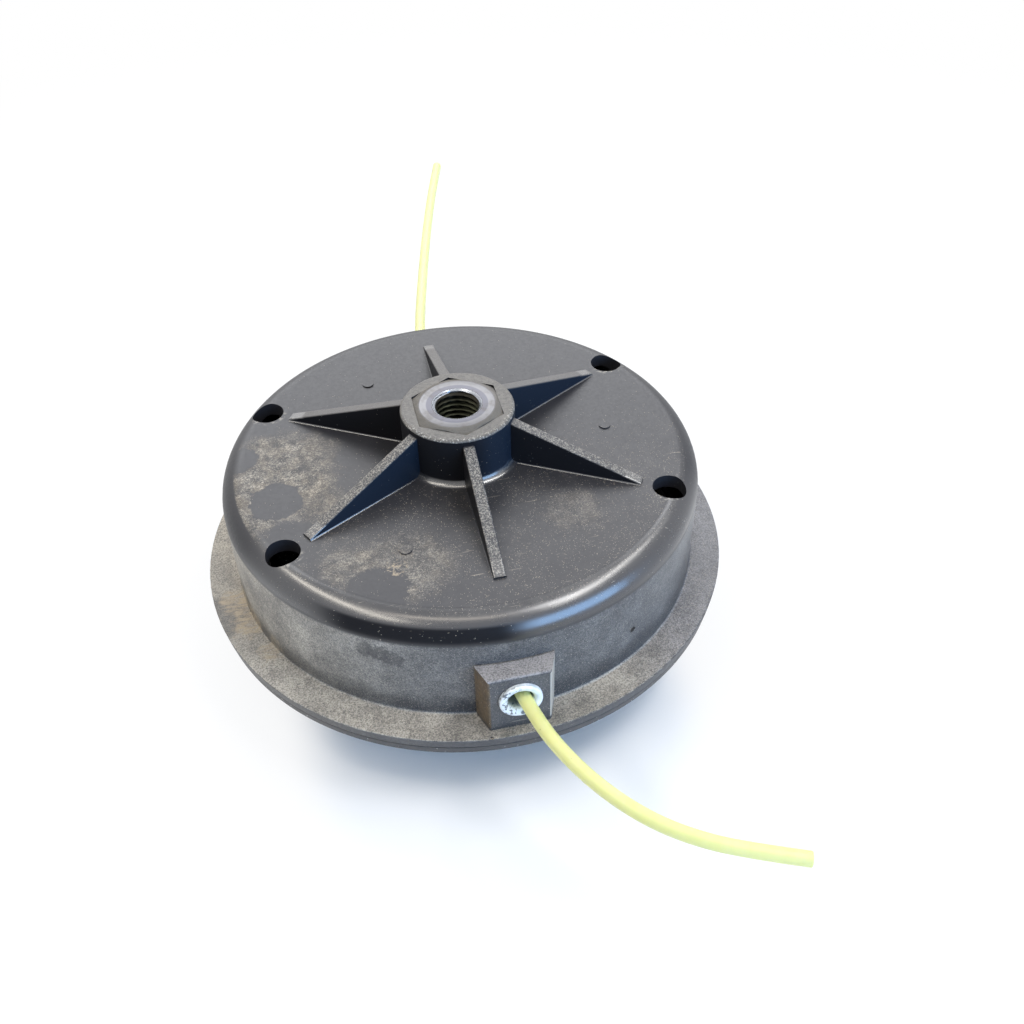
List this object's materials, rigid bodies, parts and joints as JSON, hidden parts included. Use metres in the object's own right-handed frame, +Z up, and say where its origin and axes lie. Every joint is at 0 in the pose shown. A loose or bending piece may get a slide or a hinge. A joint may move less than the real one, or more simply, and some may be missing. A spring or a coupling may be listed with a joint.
{
  "type": "tap-feed trimmer head",
  "caption": "Tap-feed string-trimmer head: ribbed round housing with a threaded hub, line eyelets and flange, sprung line spool, snap cover and bump knob.",
  "frame": {"origin": "middle of the bump knob's flat foot, on the surface that the head stands on", "axes": "+Z up the drive axis towards the threaded hub; -Y towards the front line eyelet; +X to its right"},
  "size_m": [0.112, 0.2731, 0.0568],
  "materials": {
    "housing_nylon": "moulded nylon, satin, dusty",
    "cover_nylon": "moulded nylon, satin",
    "spool_nylon": "moulded nylon, satin",
    "knob_nylon": "moulded nylon, scuffed on the foot",
    "insert_steel": "turned steel, dull",
    "eyelet_zinc": "bright zinc plating",
    "spring_steel": "drawn wire and stamped sheet",
    "line_nylon": "extruded monofilament, translucent"
  },
  "bodies": {
    "housing": {"housing": "housing_nylon", "hex_insert": "insert_steel", "front_eyelet": "eyelet_zinc", "rear_eyelet": "eyelet_zinc", "cover": "cover_nylon", "spring": "spring_steel", "front_line_lead": "line_nylon", "rear_line_lead": "line_nylon", "front_line": "line_nylon", "rear_line": "line_nylon"},
    "thrust_washer": {"thrust_washer": "spring_steel"},
    "spool": {"spool": "spool_nylon", "bump_knob": "knob_nylon", "wound_line": "line_nylon"}
  },
  "joints": [
    {"name": "tap_slide", "type": "slide", "parent": "housing", "child": "thrust_washer", "axis": [0, 0, 1], "range_m": [0, 0.005], "stiffness_N_per_m": 2000, "springref_m": -0.006, "deforming": ["spring"]},
    {"name": "spool_index", "type": "hinge", "parent": "thrust_washer", "child": "spool", "pos_m": [0, 0, 0.0208], "axis": [0, 0, 1], "range_deg": [0, 45]}
  ],
  "couplings": [
    {"joint": "spool_index", "follows": "tap_slide", "rad_per_m": 157.08}
  ]
}
